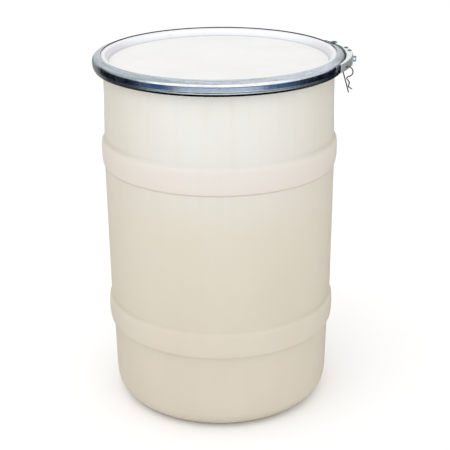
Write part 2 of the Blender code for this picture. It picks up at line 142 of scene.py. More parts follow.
def finish_mesh(name, shape, sharp=SHARP):
    """A bmesh made into an object, with its faces turned outwards."""
    bmesh.ops.recalc_face_normals(shape, faces=shape.faces)
    shade(shape, sharp)
    mesh = bpy.data.meshes.new(name)
    shape.to_mesh(mesh)
    shape.free()
    obj = bpy.data.objects.new(name, mesh)
    bpy.context.scene.collection.objects.link(obj)
    return obj


def turn(name, profile, segments=288, closed=False, start=0.0, end=360.0, wobble=None):
    """A profile of (radius, z) turned round Z. closed joins its two ends, and a part turn is capped."""
    shape = bmesh.new()
    full = end - start >= 360.0
    columns = []
    for i in range(segments if full else segments + 1):
        degrees = start + (end - start) * i / segments
        column = []
        for k, (radius, z) in enumerate(profile):
            if radius < 1e-7 and columns:
                column.append(columns[0][k])
                continue
            if wobble:
                radius, z = wobble(radius, z, math.radians(degrees))
            column.append(shape.verts.new(polar(radius, degrees, z)))
        columns.append(column)
    rows = len(profile) if closed else len(profile) - 1
    sides = zip(columns, columns[1:] + columns[:1]) if full else zip(columns, columns[1:])
    for left, right in sides:
        for k in range(rows):
            n = (k + 1) % len(profile)
            corners = []
            for vert in (left[k], right[k], right[n], left[n]):
                if vert not in corners:
                    corners.append(vert)
            if len(corners) > 2:
                shape.faces.new(corners)
    if not full:
        shape.faces.new(columns[0])
        shape.faces.new(columns[-1])
    return finish_mesh(name, shape)


def prism(name, outline, bottom, top):
    """A flat outline of (x, y) points given a thickness along Z."""
    shape = bmesh.new()
    face = shape.faces.new([shape.verts.new((x, y, bottom)) for x, y in outline])
    grown = bmesh.ops.extrude_face_region(shape, geom=[face])["geom"]
    bmesh.ops.translate(shape, verts=[v for v in grown if isinstance(v, bmesh.types.BMVert)],
                        vec=(0, 0, top - bottom))
    return finish_mesh(name, shape)


def block(name, low, high, placed):
    shape = bmesh.new()
    bmesh.ops.create_cube(shape, size=1.0)
    size = [b - a for a, b in zip(low, high)]
    middle = [(a + b) / 2 for a, b in zip(low, high)]
    bmesh.ops.transform(shape, verts=shape.verts,
                        matrix=placed @ Matrix.Translation(middle) @ Matrix.Diagonal((*size, 1)))
    return finish_mesh(name, shape)


def rod(name, radius, start, end, segments=40):
    shape = bmesh.new()
    bmesh.ops.create_cone(shape, cap_ends=True, segments=segments, radius1=radius, radius2=radius,
                          depth=(end - start).length)
    turned = (end - start).to_track_quat("Z", "Y").to_matrix().to_4x4()
    bmesh.ops.transform(shape, verts=shape.verts, matrix=Matrix.Translation((start + end) / 2) @ turned)
    return finish_mesh(name, shape)


def upright(name, centre):
    """A rod along Z through a point, to cut a pin's hole."""
    up = Vector((0, 0, 0.02))
    return rod(name, HOLE, centre - up, centre + up)


def settle(obj):
    """The object's modifiers made into its mesh."""
    bpy.context.view_layer.update()
    graph = bpy.context.evaluated_depsgraph_get()
    mesh = bpy.data.meshes.new_from_object(obj.evaluated_get(graph))
    obj.modifiers.clear()
    obj.data = mesh


def carve(obj, operation, *others):
    """Joins or cuts with the other shapes, which are then removed."""
    for other in others:
        step = obj.modifiers.new("carve", "BOOLEAN")
        step.operation, step.solver, step.object = operation, "EXACT", other
        settle(obj)
        bpy.data.objects.remove(other, do_unlink=True)


def soften(obj, width):
    """Small round edges, as on pressed sheet, and smooth shading between them."""
    welded = obj.modifiers.new("weld", "WELD")
    welded.merge_threshold = 0.00002
    bevel = obj.modifiers.new("bevel", "BEVEL")
    bevel.width = width
    bevel.segments = 2
    bevel.limit_method = "ANGLE"
    bevel.angle_limit = math.radians(SHARP)
    bevel.use_clamp_overlap = True
    settle(obj)
    shape = bmesh.new()
    shape.from_mesh(obj.data)
    shade(shape, 40.0)
    shape.to_mesh(obj.data)
    shape.free()


def tube(name, points, radius):
    """Round wire along a smooth path, with rounded ends."""
    sides = 16
    shape = bmesh.new()
    ways = [(b - a).normalized() for a, b in zip(points, points[1:])]
    ways = [ways[0], *[(a + b).normalized() for a, b in zip(ways, ways[1:])], ways[-1]]
    side = ways[0].orthogonal().normalized()
    stations = []
    for point, way in zip(points, ways):
        side = (side - way * side.dot(way)).normalized()
        stations.append((point, way, side, radius))
    for at, sign in ((0, -1), (-1, 1)):
        point, way, side, _ = stations[at]
        cap = [(point + way * sign * radius * math.sin(a), way, side, radius * math.cos(a))
               for a in (0.4, 0.8, 1.2)]
        stations = stations + cap if sign > 0 else cap[::-1] + stations
    rings = []
    for point, way, side, reach in stations:
        across = way.cross(side)
        rings.append([shape.verts.new(point + reach * (side * math.cos(a) + across * math.sin(a)))
                      for a in (2 * math.pi * i / sides for i in range(sides))])
    for near, far in zip(rings, rings[1:]):
        for i in range(sides):
            n = (i + 1) % sides
            shape.faces.new((near[i], near[n], far[n], far[i]))
    shape.faces.new(rings[0])
    shape.faces.new(rings[-1])
    return finish_mesh(name, shape, sharp=60.0)


# ---------------------------------------------------------------- materials

class Nodes:
    """Short ways to add shader nodes to a tree. A value is a node's output or a plain number or colour."""

    def __init__(self, tree):
        self.tree = tree

    def plug(self, socket, value):
        if isinstance(value, bpy.types.NodeSocket):
            self.tree.links.new(value, socket)
        else:
            socket.default_value = value

    def node(self, kind, inputs=None, **settings):
        made = self.tree.nodes.new("ShaderNode" + kind)
        for key, value in settings.items():
            setattr(made, key, value)
        for key, value in (inputs or {}).items():
            self.plug(made.inputs[key], value)
        return made

    def math(self, operation, first, second=0.0):
        return self.node("Math", {0: first, 1: second}, operation=operation).outputs[0]

    def times(self, first, second):
        return self.math("MULTIPLY", first, second)

    def parts(self, vector):
        """The X, Y and Z of a vector."""
        return self.node("SeparateXYZ", {"Vector": vector}).outputs

    def remap(self, value, low, high, to_low=0.0, to_high=1.0, smooth=True):
        """A value taken from one range to another, and held at its ends. low may be the greater."""
        ranges = {"From Min": low, "From Max": high, "To Min": to_low, "To Max": to_high}
        kind = "SMOOTHSTEP" if smooth else "LINEAR"
        return self.node("MapRange", {"Value": value, **ranges}, interpolation_type=kind).outputs["Result"]

    def stripe(self, value, centre, core, edge):
        """1 within core of the centre, falling to 0 at edge."""
        away = self.math("ABSOLUTE", self.math("SUBTRACT", value, centre))
        return self.math("SUBTRACT", 1.0, self.remap(away, core, edge))

    def mix(self, factor, first, second):
        """From the first colour at 0 to the second at 1."""
        made = self.node("Mix", {0: factor}, data_type="RGBA")
        for socket, colour in ((6, first), (7, second)):
            plain = not isinstance(colour, bpy.types.NodeSocket)
            self.plug(made.inputs[socket], (*colour, 1.0) if plain else colour)
        return made.outputs[2]

    def ramp(self, factor, *stops, interpolation="LINEAR"):
        """Colours along a factor from 0 to 1, as stops of (position, colour)."""
        made = self.node("ValToRGB", {"Fac": factor})
        made.color_ramp.interpolation = interpolation
        elements = made.color_ramp.elements
        while len(elements) < len(stops):
            elements.new(0.5)
        for element, (position, colour) in zip(elements, stops):
            element.position = position
            element.color = (*colour, 1.0)
        return made.outputs["Color"]


class Finish(Nodes):
    """A Principled material, with its patterns laid out in metres from the piece's own origin."""

    def __init__(self, name, roughness=0.5, metallic=0.0, **constants):
        self.material = bpy.data.materials.new(name)
        self.material.use_nodes = True
        super().__init__(self.material.node_tree)
        self.shader = self.tree.nodes["Principled BSDF"]
        self.set("Roughness", roughness)
        self.set("Metallic", metallic)
        for socket, value in constants.items():
            self.set(socket.replace("_", " "), value)
        self.place = self.node("TexCoord").outputs["Object"]

    def set(self, socket, value):
        self.plug(self.shader.inputs[socket], value)

    def stretched(self, x, y, z):
        return self.node("Mapping", {"Vector": self.place, "Scale": (x, y, z)}).outputs["Vector"]

    def noise(self, scale, detail=3.0, roughness=0.5, vector=None, distortion=0.0):
        inputs = {"Vector": vector or self.place, "Scale": scale, "Detail": detail,
                  "Roughness": roughness, "Distortion": distortion}
        return self.node("TexNoise", inputs).outputs["Fac"]

    def voronoi(self, scale, vector=None):
        return self.node("TexVoronoi", {"Vector": vector or self.place, "Scale": scale}).outputs

    def height(self):
        return self.parts(self.place)["Z"]

    def radius(self):
        """Distance from the drum's axis."""
        return self.node("VectorMath", {0: self.stretched(1, 1, 0)}, operation="LENGTH").outputs["Value"]

    def normal(self):
        return self.node("NewGeometry").outputs["Normal"]

    def bump(self, *layers):
        """Layers of (height, distance in metres), laid over one another."""
        normal = None
        for height, distance in layers:
            inputs = {"Height": height, "Distance": distance, "Strength": 1.0}
            if normal:
                inputs["Normal"] = normal
            normal = self.node("Bump", inputs).outputs["Normal"]
        self.set("Normal", normal)


def hoop_shading(made, colour, height, facing, step, strength):
    """A hoop's warmer tone, a painted shade on the slope above it and a thin painted shadow line under its
    step.
    """
    top = step + HOOP_HEIGHT
    on_hoop = made.times(made.remap(height, step, step + 0.003),
                         made.remap(height, top - 0.003, top - 0.010))
    colour = made.mix(made.times(on_hoop, strength), colour, (0.775, 0.695, 0.640))
    # Painted shade on the slope above the hoop, stronger where the wall turns away
    on_slope = made.times(made.remap(height, top + 0.012, top + 0.001),
                          made.remap(height, top - 0.006, top - 0.001))
    turned_away = made.remap(facing, 0.12, 0.60, 0.03, 0.30)
    colour = made.mix(made.times(on_slope, turned_away), colour, (0.520, 0.450, 0.360))
    # A thin painted shadow under the hoop's step
    line = made.stripe(height, step - 0.0006, 0.0004, 0.0018)
    return made.mix(made.times(line, 0.35), colour, (0.400, 0.340, 0.260))


def natural_hdpe():
    """Unpigmented blow-moulded polyethylene: cream, deeper towards the base, partly in its own tone and
    partly as painted shade, and darker by painted shade where it turns away.
    """
    made = Finish("natural_hdpe", roughness=0.46, Specular_IOR_Level=0.42, Subsurface_Weight=0.12,
                  Subsurface_Radius=(1.0, 0.75, 0.5), Subsurface_Scale=0.006, IOR=1.52)
    height = made.height()
    # Darker and warmer towards the base: partly the plastic's own tone, partly painted shade for light that
    # falls from above
    colour = made.ramp(made.remap(height, DRUM_LOW[2], DRUM_HIGH[2], smooth=False),
                       (0.0, (0.655, 0.586, 0.482)), (0.33, (0.652, 0.592, 0.480)),
                       (0.58, (0.690, 0.640, 0.530)), (0.80, (0.762, 0.742, 0.702)),
                       (0.96, (0.830, 0.820, 0.770)))
    cloud = made.remap(made.noise(9.0, detail=4.0, vector=made.stretched(1, 1, 0.5)), 0.35, 0.65)
    colour = made.mix(made.times(cloud, 0.18), colour, (0.735, 0.690, 0.600))
    flow = made.noise(60.0, vector=made.stretched(1, 1, 0.05))
    colour = made.mix(made.remap(flow, 0.45, 0.75, 0.0, 0.12), colour, (0.66, 0.60, 0.50))
    facing = made.node("LayerWeight", {"Blend": 0.5}).outputs["Facing"]
    # Painted shade where the wall turns away, stronger on the upper wall
    painted_side_shade = made.times(made.remap(facing, 0.05, 0.60), made.remap(height, 0.40, 0.56, 0.12, 0.48))
    colour = made.mix(painted_side_shade, colour, (0.640, 0.575, 0.450))
    for step, strength in ((UPPER_STEP, 0.45), (LOWER_STEP, 0.10)):
        colour = hoop_shading(made, colour, height, facing, step, strength)
    made.set("Base Color", colour)
    made.set("Roughness", made.remap(made.noise(45.0), 0.3, 0.7, 0.42, 0.52))
    dents, orange_peel, grain = [made.noise(scale, detail=2.0) for scale in (14.0, 150.0, 900.0)]
    made.bump((dents, 0.0012), (orange_peel, 0.00012), (grain, 0.00002))
    return made.material


def lid_hdpe():
    """Whiter polyethylene with painted light and shade: the panel's recess wall painted darker towards the
    front and lighter towards the rear, and a painted dark shade in the crease at its foot.
    """
    made = Finish("lid_hdpe", roughness=0.40, Specular_IOR_Level=0.45, Subsurface_Weight=0.10,
                  Subsurface_Radius=(1.0, 0.8, 0.6), Subsurface_Scale=0.004, IOR=1.52)
    cloud = made.remap(made.noise(7.0, detail=4.0), 0.35, 0.68)
    colour = made.mix(cloud, (0.800, 0.785, 0.765), (0.765, 0.755, 0.735))
    reach = made.radius()
    # Painted light and shade on the recess wall: dark lilac grey at the front, bluish white at the rear
    wall = made.remap(reach, RIM - 0.0320, RIM - 0.0270)
    rearward = made.math("DIVIDE", made.parts(made.place)["Y"], reach)
    wall_colour = made.mix(made.remap(rearward, 0.25, 0.80), (0.735, 0.730, 0.770), (0.900, 0.925, 0.970))
    colour = made.mix(wall, colour, wall_colour)
    crest = made.remap(reach, RIM - 0.0235, RIM - 0.0190)
    colour = made.mix(crest, colour, (0.770, 0.765, 0.790))
    # Painted shade in the crease at the foot of the recess wall
    crease = made.stripe(reach, RIM - 0.0278, 0.0004, 0.0026)
    colour = made.mix(made.times(crease, 0.8), colour, (0.50, 0.49, 0.54))
    scuff = made.remap(made.noise(22.0, detail=6.0, roughness=0.7, distortion=0.6), 0.56, 0.70, 0.0, 0.35)
    made.set("Base Color", made.mix(scuff, colour, (0.73, 0.725, 0.71)))
    made.set("Roughness", made.remap(made.noise(30.0, detail=4.0), 0.3, 0.7, 0.34, 0.46))
    made.bump((made.noise(10.0, detail=1.0), 0.0010), (made.noise(170.0, detail=2.0), 0.00008))
    return made.material


def gasket_rubber():
    made = Finish("gasket_rubber", roughness=0.85, Specular_IOR_Level=0.3)
    cells = made.voronoi(1400.0)["Distance"]
    colour = made.mix(made.remap(cells, 0.0, 0.6), (0.010, 0.010, 0.011), (0.032, 0.032, 0.034))
    made.set("Base Color", colour)
    made.bump((cells, 0.0003))
    return made.material


def band_shading(made, colour):
    """The band's rolling lines, and painted black shade on its inside, its underside, its hem and on its wall
    by the lever's tip.
    """
    normal = made.normal()
    outwards = made.node("VectorMath", {0: normal, 1: made.stretched(1, 1, 0)}, operation="DOT_PRODUCT")
    # Painted shade: black on faces that look in towards the drum
    inside = made.remap(outwards.outputs["Value"], -0.05, -0.12)
    colour = made.mix(inside, colour, (0.015, 0.015, 0.018))
    slope = made.parts(normal)["Z"]
    # Painted shade: black on faces that look down
    underside = made.remap(slope, -0.30, -0.42)
    colour = made.mix(underside, colour, (0.02, 0.02, 0.022))
    # Painted shadow: a black line along the hem
    hem = made.remap(made.height(), RING_LOW[2] + 0.0052, RING_LOW[2] + 0.0042)
    colour = made.mix(hem, colour, (0.015, 0.015, 0.016))
    lines = made.noise(1.0, roughness=0.7, vector=made.stretched(14, 14, 1500))
    colour = made.mix(made.remap(lines, 0.48, 0.66, 0.0, 0.55), colour, (0.20, 0.24, 0.31))
    # Painted shade: the wall by the lever's tip turned black
    place = made.parts(made.place)
    by_tip = made.times(made.remap(place["X"], 0.86 * RING, 0.93 * RING),
                        made.remap(place["Y"], -0.26 * RING, -0.34 * RING))
    wall = made.times(made.remap(slope, 0.45, 0.30), by_tip)
    return made.mix(wall, colour, (0.02, 0.02, 0.023))


def bracket_shading(made, colour):
    """A painted dark shade in the corner where a bracket's ear leaves its base, on faces that look up."""
    slope = made.parts(made.normal())["Z"]
    # Painted shade in the corner at the root of the ear
    corner = made.times(made.remap(made.radius(), RING + 0.0062, RING + 0.0050),
                        made.remap(slope, 0.04, 0.20))
    return made.mix(corner, colour, (0.02, 0.02, 0.022))


def zinc(name, tint, roughness, spangle, streak=0.0001, metallic=1.0, shading=None):
    """Zinc on rolled steel: soft crystal patches, fine rolling lines and a few scuffs."""
    made = Finish(name, metallic=metallic)
    cells = made.voronoi(150.0, made.stretched(1, 1, 1.8))
    tone = made.node("SeparateColor", {"Color": cells["Color"]}).outputs["Red"]
    dull, worn = [tuple(share * c for c in tint) for share in (0.80, 0.72)]
    colour = made.mix(made.remap(tone, 0.1, 0.9, 0.0, spangle, smooth=False), tint, dull)
    scuff = made.remap(made.noise(38.0, detail=6.0, roughness=0.7, distortion=0.8), 0.58, 0.70, 0.0, 0.5)
    colour = made.mix(scuff, colour, worn)
    if shading:
        colour = shading(made, colour)
    made.set("Base Color", colour)
    rub = made.remap(made.noise(55.0, detail=4.0), 0.3, 0.7, roughness - 0.06, roughness + 0.09)
    made.set("Roughness", made.math("ADD", rub, made.times(tone, 0.05)))
    rolled = made.noise(1.0, detail=2.0, vector=made.stretched(12, 12, 900))
    drawn = made.noise(1.0, detail=2.0, vector=made.stretched(95, 95, 12))
    made.bump((drawn, streak * 3), (rolled, streak * 0.25), (made.noise(420.0, detail=2.0), streak * 0.3))
    return made.material


def spring_wire():
    made = Finish("spring_wire", metallic=1.0)
    stain = made.remap(made.noise(160.0, detail=4.0), 0.45, 0.65)
    made.set("Base Color", made.mix(stain, (0.19, 0.185, 0.175), (0.09, 0.085, 0.08)))
    made.set("Roughness", made.remap(made.noise(300.0), 0.3, 0.7, 0.26, 0.42))
    made.bump((made.noise(900.0, detail=2.0), 0.00003))
    return made.material


def floor_finish():
    made = Finish("studio_floor", roughness=0.9, Specular_IOR_Level=0.0)
    cloud = made.remap(made.noise(0.8, detail=3.0), 0.3, 0.7)
    made.set("Base Color", made.mix(cloud, (0.975, 0.976, 0.980), (0.985, 0.986, 0.990)))
    return made.material


FINISHES = {
    "natural_hdpe": natural_hdpe(),
    "lid_hdpe": lid_hdpe(),
    "gasket_rubber": gasket_rubber(),
    "galvanised_band": zinc("galvanised_band", (0.68, 0.72, 0.76), 0.16, 0.5, shading=band_shading),
    "galvanised_bracket": zinc("galvanised_bracket", (0.60, 0.64, 0.67), 0.30, 0.5, shading=bracket_shading),
    "zinc_lever": zinc("zinc_lever", (0.80, 0.86, 0.84), 0.22, 0.3, streak=0.00006, metallic=0.62),
    "rivet_steel": zinc("rivet_steel", (0.16, 0.16, 0.18), 0.26, 0.3, streak=0.00003),
    "spring_wire": spring_wire(),
}


def fit(obj, body, slot, *nodes):
    """Gives a piece its finish and its body, and hides the CAD nodes that it stands for."""
    obj.data.materials.clear()
    obj.data.materials.append(FINISHES[slot])
    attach(obj, body)
    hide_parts(*nodes)
    return obj


# ---------------------------------------------------------------- drum, lid and gasket

def hoop(step, above, crown, below):
    """A rolling hoop from the top down: a short slope out, a broad crown and a sharp step back."""
    top = step + HOOP_HEIGHT
    return [(above, top, 0.003), (crown - 0.0014, top - 0.0065, 0.0035),
            (crown - 0.0003, top - 0.014, 0.006), (crown, step + 0.50 * HOOP_HEIGHT, 0.008),
            (crown - 0.0006, step + 0.0130, 0.006), (crown - 0.0022, step + 0.0030, 0.0024),
            (crown - 0.0042, step + 0.0004, 0.0012), (below, step - 0.0002, 0.0008)]


def hoop_inside(step, above, crown, bend, below):
    """The wall's inner face behind a hoop, from the bottom up."""
    return [(below - WALL, step, 0.004), (crown - bend, step + 0.013, 0.008),
            (crown - WALL, step + 0.034, 0.008), (above - WALL, step + HOOP_HEIGHT, 0.010)]


def drum_waves(radius, z, angle):
    """The wall of a blow-moulded drum isn't quite round and has a moulding seam. Mouth and foot are round."""
    wall_bottom, wall_top, fade_length = 0.05, 0.660, 0.05
    fade = min(1.0, max(0.0, (wall_top - z) / fade_length))
    fade *= min(1.0, max(0.0, (z - wall_bottom) / fade_length))
    wave = 0.00028 * math.sin(2 * angle + 0.7) + 0.00022 * math.sin(5 * angle + 9 * z)
    wave += 0.00016 * math.sin(11 * angle - 23 * z + 1.9)
    seam_width = 0.0011
    seam = 0.00030 * math.exp(-((abs(math.sin(angle)) * radius / seam_width) ** 2))
    return (radius + fade * (wave + seam) if radius > 0.2 else radius), z


def drum_shell():
    top, floor = DRUM_HIGH[2], DRUM_LOW[2]
    mouth, neck, shoulder = BEAD - 0.0150, BEAD - 0.0098, BEAD - 0.0073
    waist_top, waist_bottom = BEAD - 0.0060, BEAD - 0.0077
    base_top, base_bottom = BEAD - 0.0109, BEAD - 0.0130
    upper_crown, lower_crown = BEAD - 0.0007, BEAD - 0.0023
    corner, foot, pad, recess = 0.047, BEAD - 0.0885, BEAD - 0.1805, floor + 0.004
    inside_floor, neck_bottom = floor + 0.009, top - 0.0785
    inside = [(0.0, inside_floor, 0), (base_bottom - WALL, inside_floor, corner - WALL)]
    inside += hoop_inside(LOWER_STEP, waist_bottom, lower_crown, 0.0068, base_top)
    inside += hoop_inside(UPPER_STEP, shoulder, upper_crown, 0.0064, waist_top)
    inside += [(mouth, neck_bottom, 0.015), (mouth, top, 0.002)]
    outside = [(BEAD, top, 0.0022), (BEAD, top - 0.0085, 0.0016), (neck + 0.0012, top - 0.0117, 0.0015),
               (neck, top - 0.018, 0.004), (neck, neck_bottom, 0.015), (neck + 0.0015, top - 0.1215, 0.015)]
    outside += hoop(UPPER_STEP, shoulder, upper_crown, waist_top)
    outside += hoop(LOWER_STEP, waist_bottom, lower_crown, base_top)
    outside += [(base_top - 0.0004, LOWER_STEP - 0.012, 0.004), (base_bottom, floor + corner, 0.012),
                (base_bottom - 0.0035, floor + 0.0215, 0.020),
                (base_bottom - corner * 0.46, floor + 0.0033, 0.018), (base_bottom - corner, floor, 0.012),
                (foot, floor, 0.0015), (foot - 0.006, recess, 0.003), (pad + 0.006, recess, 0.003),
                (pad, floor, 0.0015), (0.0, floor, 0)]
    body = turn("drum_shell", rounded(inside + outside, steps=6), wobble=drum_waves)
    return fit(body, "drum", "natural_hdpe", "drum_body")


def lid_waves(radius, z, angle):
    """A moulded lid's flat panel is never quite flat, and this one sags by half a millimetre."""
    panel_edge, sag = 0.218, 0.0005
    if radius > panel_edge:
        return radius, z
    flat = 1.0 - (radius / panel_edge) ** 4
    dip = 0.00045 * math.sin(2 * angle + 0.4) * (radius / panel_edge) ** 2
    dip += 0.00022 * math.sin(3 * angle + 40 * radius)
    return radius, z + flat * dip - sag * flat


def lid_cover():
    top, underside = LID_HIGH[2], LID_LOW[2]
    panel = underside + 0.004
    roof = GASKET_HIGH[2] + 0.0004
    corners = [(0.0, panel, 0), (0.110, panel, 0.01), (RIM - 0.0312, panel, 0.003),
               (RIM - 0.0262, panel + 0.0008, 0.0035), (RIM - 0.0246, panel + 0.0088, 0.004),
               (RIM - 0.0213, top - 0.0016, 0.003), (RIM - 0.0165, top + 0.0001, 0.003),
               (RIM - 0.0125, top - 0.0009, 0.002), (RIM - 0.0030, top - 0.0046, 0.0025),
               (RIM, top - 0.0062, 0.0015), (RIM, underside + 0.0070, 0.0008),
               (RIM - 0.0027, underside + 0.0070, 0.0008), (RIM - 0.0027, underside + 0.0120, 0.0015),
               (RIM - 0.0082, roof, 0.0008), (RIM - 0.0177, roof, 0.0012),
               (RIM - 0.0223, underside + 0.0110, 0.0015), (RIM - 0.0231, underside + 0.0038, 0.002),
               (RIM - 0.0267, underside, 0.002), (0.110, underside, 0.01), (0.0, underside, 0)]
    cover = turn("lid_cover", rounded(corners), wobble=lid_waves)
    return fit(cover, "cover", "lid_hdpe", "lid")


def foam_gasket():
    outer = (GASKET_HIGH[1] - GASKET_LOW[1]) / 2
    inner, low, high = outer - 0.0074, GASKET_LOW[2], GASKET_HIGH[2]
    corners = [(inner, high, 0.0016), (outer, high, 0.0016), (outer, low, 0.0016), (inner, low, 0.0016)]
    gasket = turn("foam_gasket", rounded(corners, closed=True, steps=4), segments=192, closed=True)
    return fit(gasket, "cover", "gasket_rubber", "lid_gasket")


# ---------------------------------------------------------------- closing ring

# The gap between the ring's two ends, in degrees
GAP_START, GAP_END = 14.2, 17.8


def clamp_band():
    """The ring's channel of rolled sheet, open where its two ends meet."""
    low, high = RING_LOW[2], RING_HIGH[2]
    mouth, lip = RING - 0.0170, RING - 0.0150
    face = RING - SHEET
    corners = [(mouth, high, 0.0004), (RING - 0.0030, high - 0.0053, 0.0018), (RING, high - 0.0100, 0.0022),
               (RING, low + 0.0096, 0.0036), (RING - 0.0010, low + 0.0074, 0.0006),
               (RING - 0.0014, low + 0.0050, 0.0006), (RING - 0.0036, low + 0.0012, 0.0010),
               (RING - 0.0048, low, 0.0008), (lip, low + 0.0046, 0.0005), (lip, low + 0.0061, 0.0005),
               (RING - 0.0050, low + 0.0018, 0.0010), (RING - 0.0030, low + 0.0056, 0.0012),
               (face, low + 0.0100, 0.0020), (face, high - 0.0104, 0.0020),
               (RING - 0.0038, high - 0.0068, 0.0018), (mouth, high - SHEET, 0.0004)]
    band = turn("clamp_band", rounded(corners, closed=True, steps=4), segments=356, closed=True,
                start=GAP_END, end=GAP_START + 360.0)
    return fit(band, "ring", "galvanised_band", "closing_ring")


# ---------------------------------------------------------------- latch

FULCRUM = HINGES["lever_swing"]
LINK_PIVOT = HINGES["link_swing"]
CLIP_HINGE = HINGES["clip_swing"]
KEEPER = middle_of("link_cross_pin")

# Angles of the lever's tip, of the ends of its shallower handle and of its web, of its tail and of the tab
TIP, HANDLE_END, WEB_END = -24.5, -5.8, -1.6
TAIL = azimuth(FULCRUM)
TAB = azimuth(middle_of("locking_tab_rivet_rear")) + 2.6

HANDLE_BOTTOM = LEVER_LOW[2] + 0.0062
LEVER_INNER = LEVER - 0.0137
BASE_INNER, BASE_OUTER = RING + 0.0003, RING + 0.0018


def flat(radius, degrees):
    place = polar(radius, degrees)
    return place.x, place.y


def arc_points(centre, radius, start, end, steps=28):
    angles = [math.radians(start + (end - start) * i / steps) for i in range(steps + 1)]
    return [(centre[0] + radius * math.cos(a), centre[1] + radius * math.sin(a)) for a in angles]


def handle_taper(radius, z, angle):
    """The lever draws in to the ring, most of all at its tip. Its flanges' inner edges stay in place."""
    degrees = math.degrees(angle)
    taper = [(TIP, 0.0100), (-15.0, 0.0054), (-7.5, 0.0020), (-1.0, 0.0), (30.0, 0.0016)]
    for (start, first), (end, last) in zip(taper, taper[1:]):
        if degrees <= end:
            drawn = first + (last - first) * (max(degrees, start) - start) / (end - start)
            break
    return (radius - drawn if radius > LEVER_INNER + 0.0006 else radius), z


def lever_channel():
    """Pressed sheet bent to a channel, with a rounded tail, a clip hole and a slot for the tab."""
    low, high = LEVER_LOW[2], LEVER_HIGH[2]
    clear, web = LEVER + 0.01, LEVER - 0.0024
    section = [(LEVER_INNER, high, 0.0003), (LEVER, high, 0.0022), (LEVER, low, 0.0022),
               (LEVER_INNER, low, 0.0003), (LEVER_INNER, low + SHEET, 0.0003),
               (LEVER - SHEET, low + SHEET, 0.0008), (LEVER - SHEET, high - SHEET, 0.0008),
               (LEVER_INNER, high - SHEET, 0.0003)]
    lever = turn("lever_channel", rounded(section, closed=True, steps=4), segments=96, closed=True,
                 start=TIP, end=TAIL + 2.2, wobble=handle_taper)
    under = [(RING, HANDLE_BOTTOM), (clear, HANDLE_BOTTOM), (clear, low - 0.01), (RING, low - 0.01)]
    under = turn("under_handle", under, segments=24, closed=True, start=TIP - 2, end=HANDLE_END)
    past = [(web, high - SHEET), (clear, high - SHEET), (clear, low + SHEET), (web, low + SHEET)]
    past = turn("past_web", past, segments=24, closed=True, start=WEB_END, end=TAIL + 4)
    carve(lever, "DIFFERENCE", under, past)
    centre = flat((LEVER + LEVER_INNER) / 2 - 0.0004, TAIL)
    tail = [flat(0.240, -32), flat(0.300, -32), flat(0.300, TAIL),
            *arc_points(centre, 0.0064, TAIL, TAIL + 180), flat(0.240, TAIL)]
    carve(lever, "INTERSECT", prism("tail_outline", tail, low - 0.01, high + 0.01))
    across = polar(1.0, azimuth(CLIP_HINGE))
    clip_hole = rod("clip_hole", HOLE, CLIP_HINGE - 0.003 * across, CLIP_HINGE + 0.004 * across)
    slot = block("tab_slot", (LEVER - 0.008, -0.0052, TAB_LOW[2] - 0.0015),
                 (LEVER + 0.004, 0.0014, high - SHEET), Matrix.Rotation(math.radians(TAB), 4, "Z"))
    carve(lever, "DIFFERENCE", upright("fulcrum_hole", FULCRUM), upright("link_hole", LINK_PIVOT),
          clip_hole, slot)
    soften(lever, 0.00022)
    return fit(lever, "handle", "zinc_lever", "lever")


def bracket_plate(name, node, start, end, pivot, reach, mouth=None):
    """A base curved to the ring, bent out into an ear above and below. mouth aims a notch in the ears."""
    low, high = BRACKET_LOW[2], BRACKET_HIGH[2]
    out, base = LEVER + 0.004, BASE_OUTER + 0.0004
    section = [(BASE_INNER, high, 0.0016), (out, high, 0.0003), (out, high - SHEET, 0.0003),
               (BASE_OUTER, high - SHEET, 0.0008), (BASE_OUTER, low + SHEET, 0.0008),
               (out, low + SHEET, 0.0003), (out, low, 0.0003), (BASE_INNER, low, 0.0016)]
    plate = turn(name, rounded(section, closed=True, steps=4), segments=40, closed=True, start=start, end=end)
    aim = azimuth(pivot)
    half = math.degrees(reach / BASE_OUTER)
    outline = [flat(0.240, start - 1), flat(base, start - 1), flat(base, aim - half),
               *arc_points(pivot, reach, aim - 85, aim + 85),
               flat(base, aim + half), flat(base, end + 1), flat(0.240, end + 1)]
    carve(plate, "INTERSECT", prism("ear_outline", outline, low - 0.01, high + 0.01))
    carve(plate, "DIFFERENCE", upright("pivot_hole", pivot))
    if mouth is not None:
        placed = Matrix.Translation((pivot.x, pivot.y, 0)) @ Matrix.Rotation(math.radians(mouth), 4, "Z")
        notch = block("notch", (0, -0.0028, low - 0.01), (0.014, 0.0028, high + 0.01), placed)
        carve(plate, "DIFFERENCE", notch)
    soften(plate, 0.00022)
    return fit(plate, "ring", "galvanised_bracket", node)


def tab_plate():
    """A foot riveted to the ring and a blade that stands out through the lever's slot."""
    edge = 0.0004
    reach = TAB_HIGH[0] / math.cos(math.radians(TAB)) - edge
    low, high = TAB_LOW[2], TAB_HIGH[2]
    foot = [(BASE_INNER, high), (BASE_OUTER, high), (BASE_OUTER, low), (BASE_INNER, low)]
    tab = turn("tab_plate", foot, segments=16, closed=True, start=TAB - 6.4, end=TAB)
    nose = [(BASE_INNER + edge, low + edge, 0), (reach, low + edge, 0.0028),
            (reach, high - edge, 0.0028), (BASE_INNER + edge, high - edge, 0)]
    blade = prism("tab_blade", rounded(nose, closed=True), -0.0008, 0.0012)
    stood_up = Matrix.Rotation(math.radians(90), 4, "X")
    blade.data.transform(Matrix.Rotation(math.radians(TAB), 4, "Z") @ stood_up)
    carve(tab, "UNION", blade)
    across = polar(1.0, TAB + 90)
    eye = polar(reach - 0.0042, TAB, (low + high) / 2)
    carve(tab, "DIFFERENCE", rod("tab_eye", 0.0019, eye - 0.01 * across, eye + 0.01 * across))
    soften(tab, 0.00025)
    return fit(tab, "ring", "galvanised_bracket", "locking_tab")


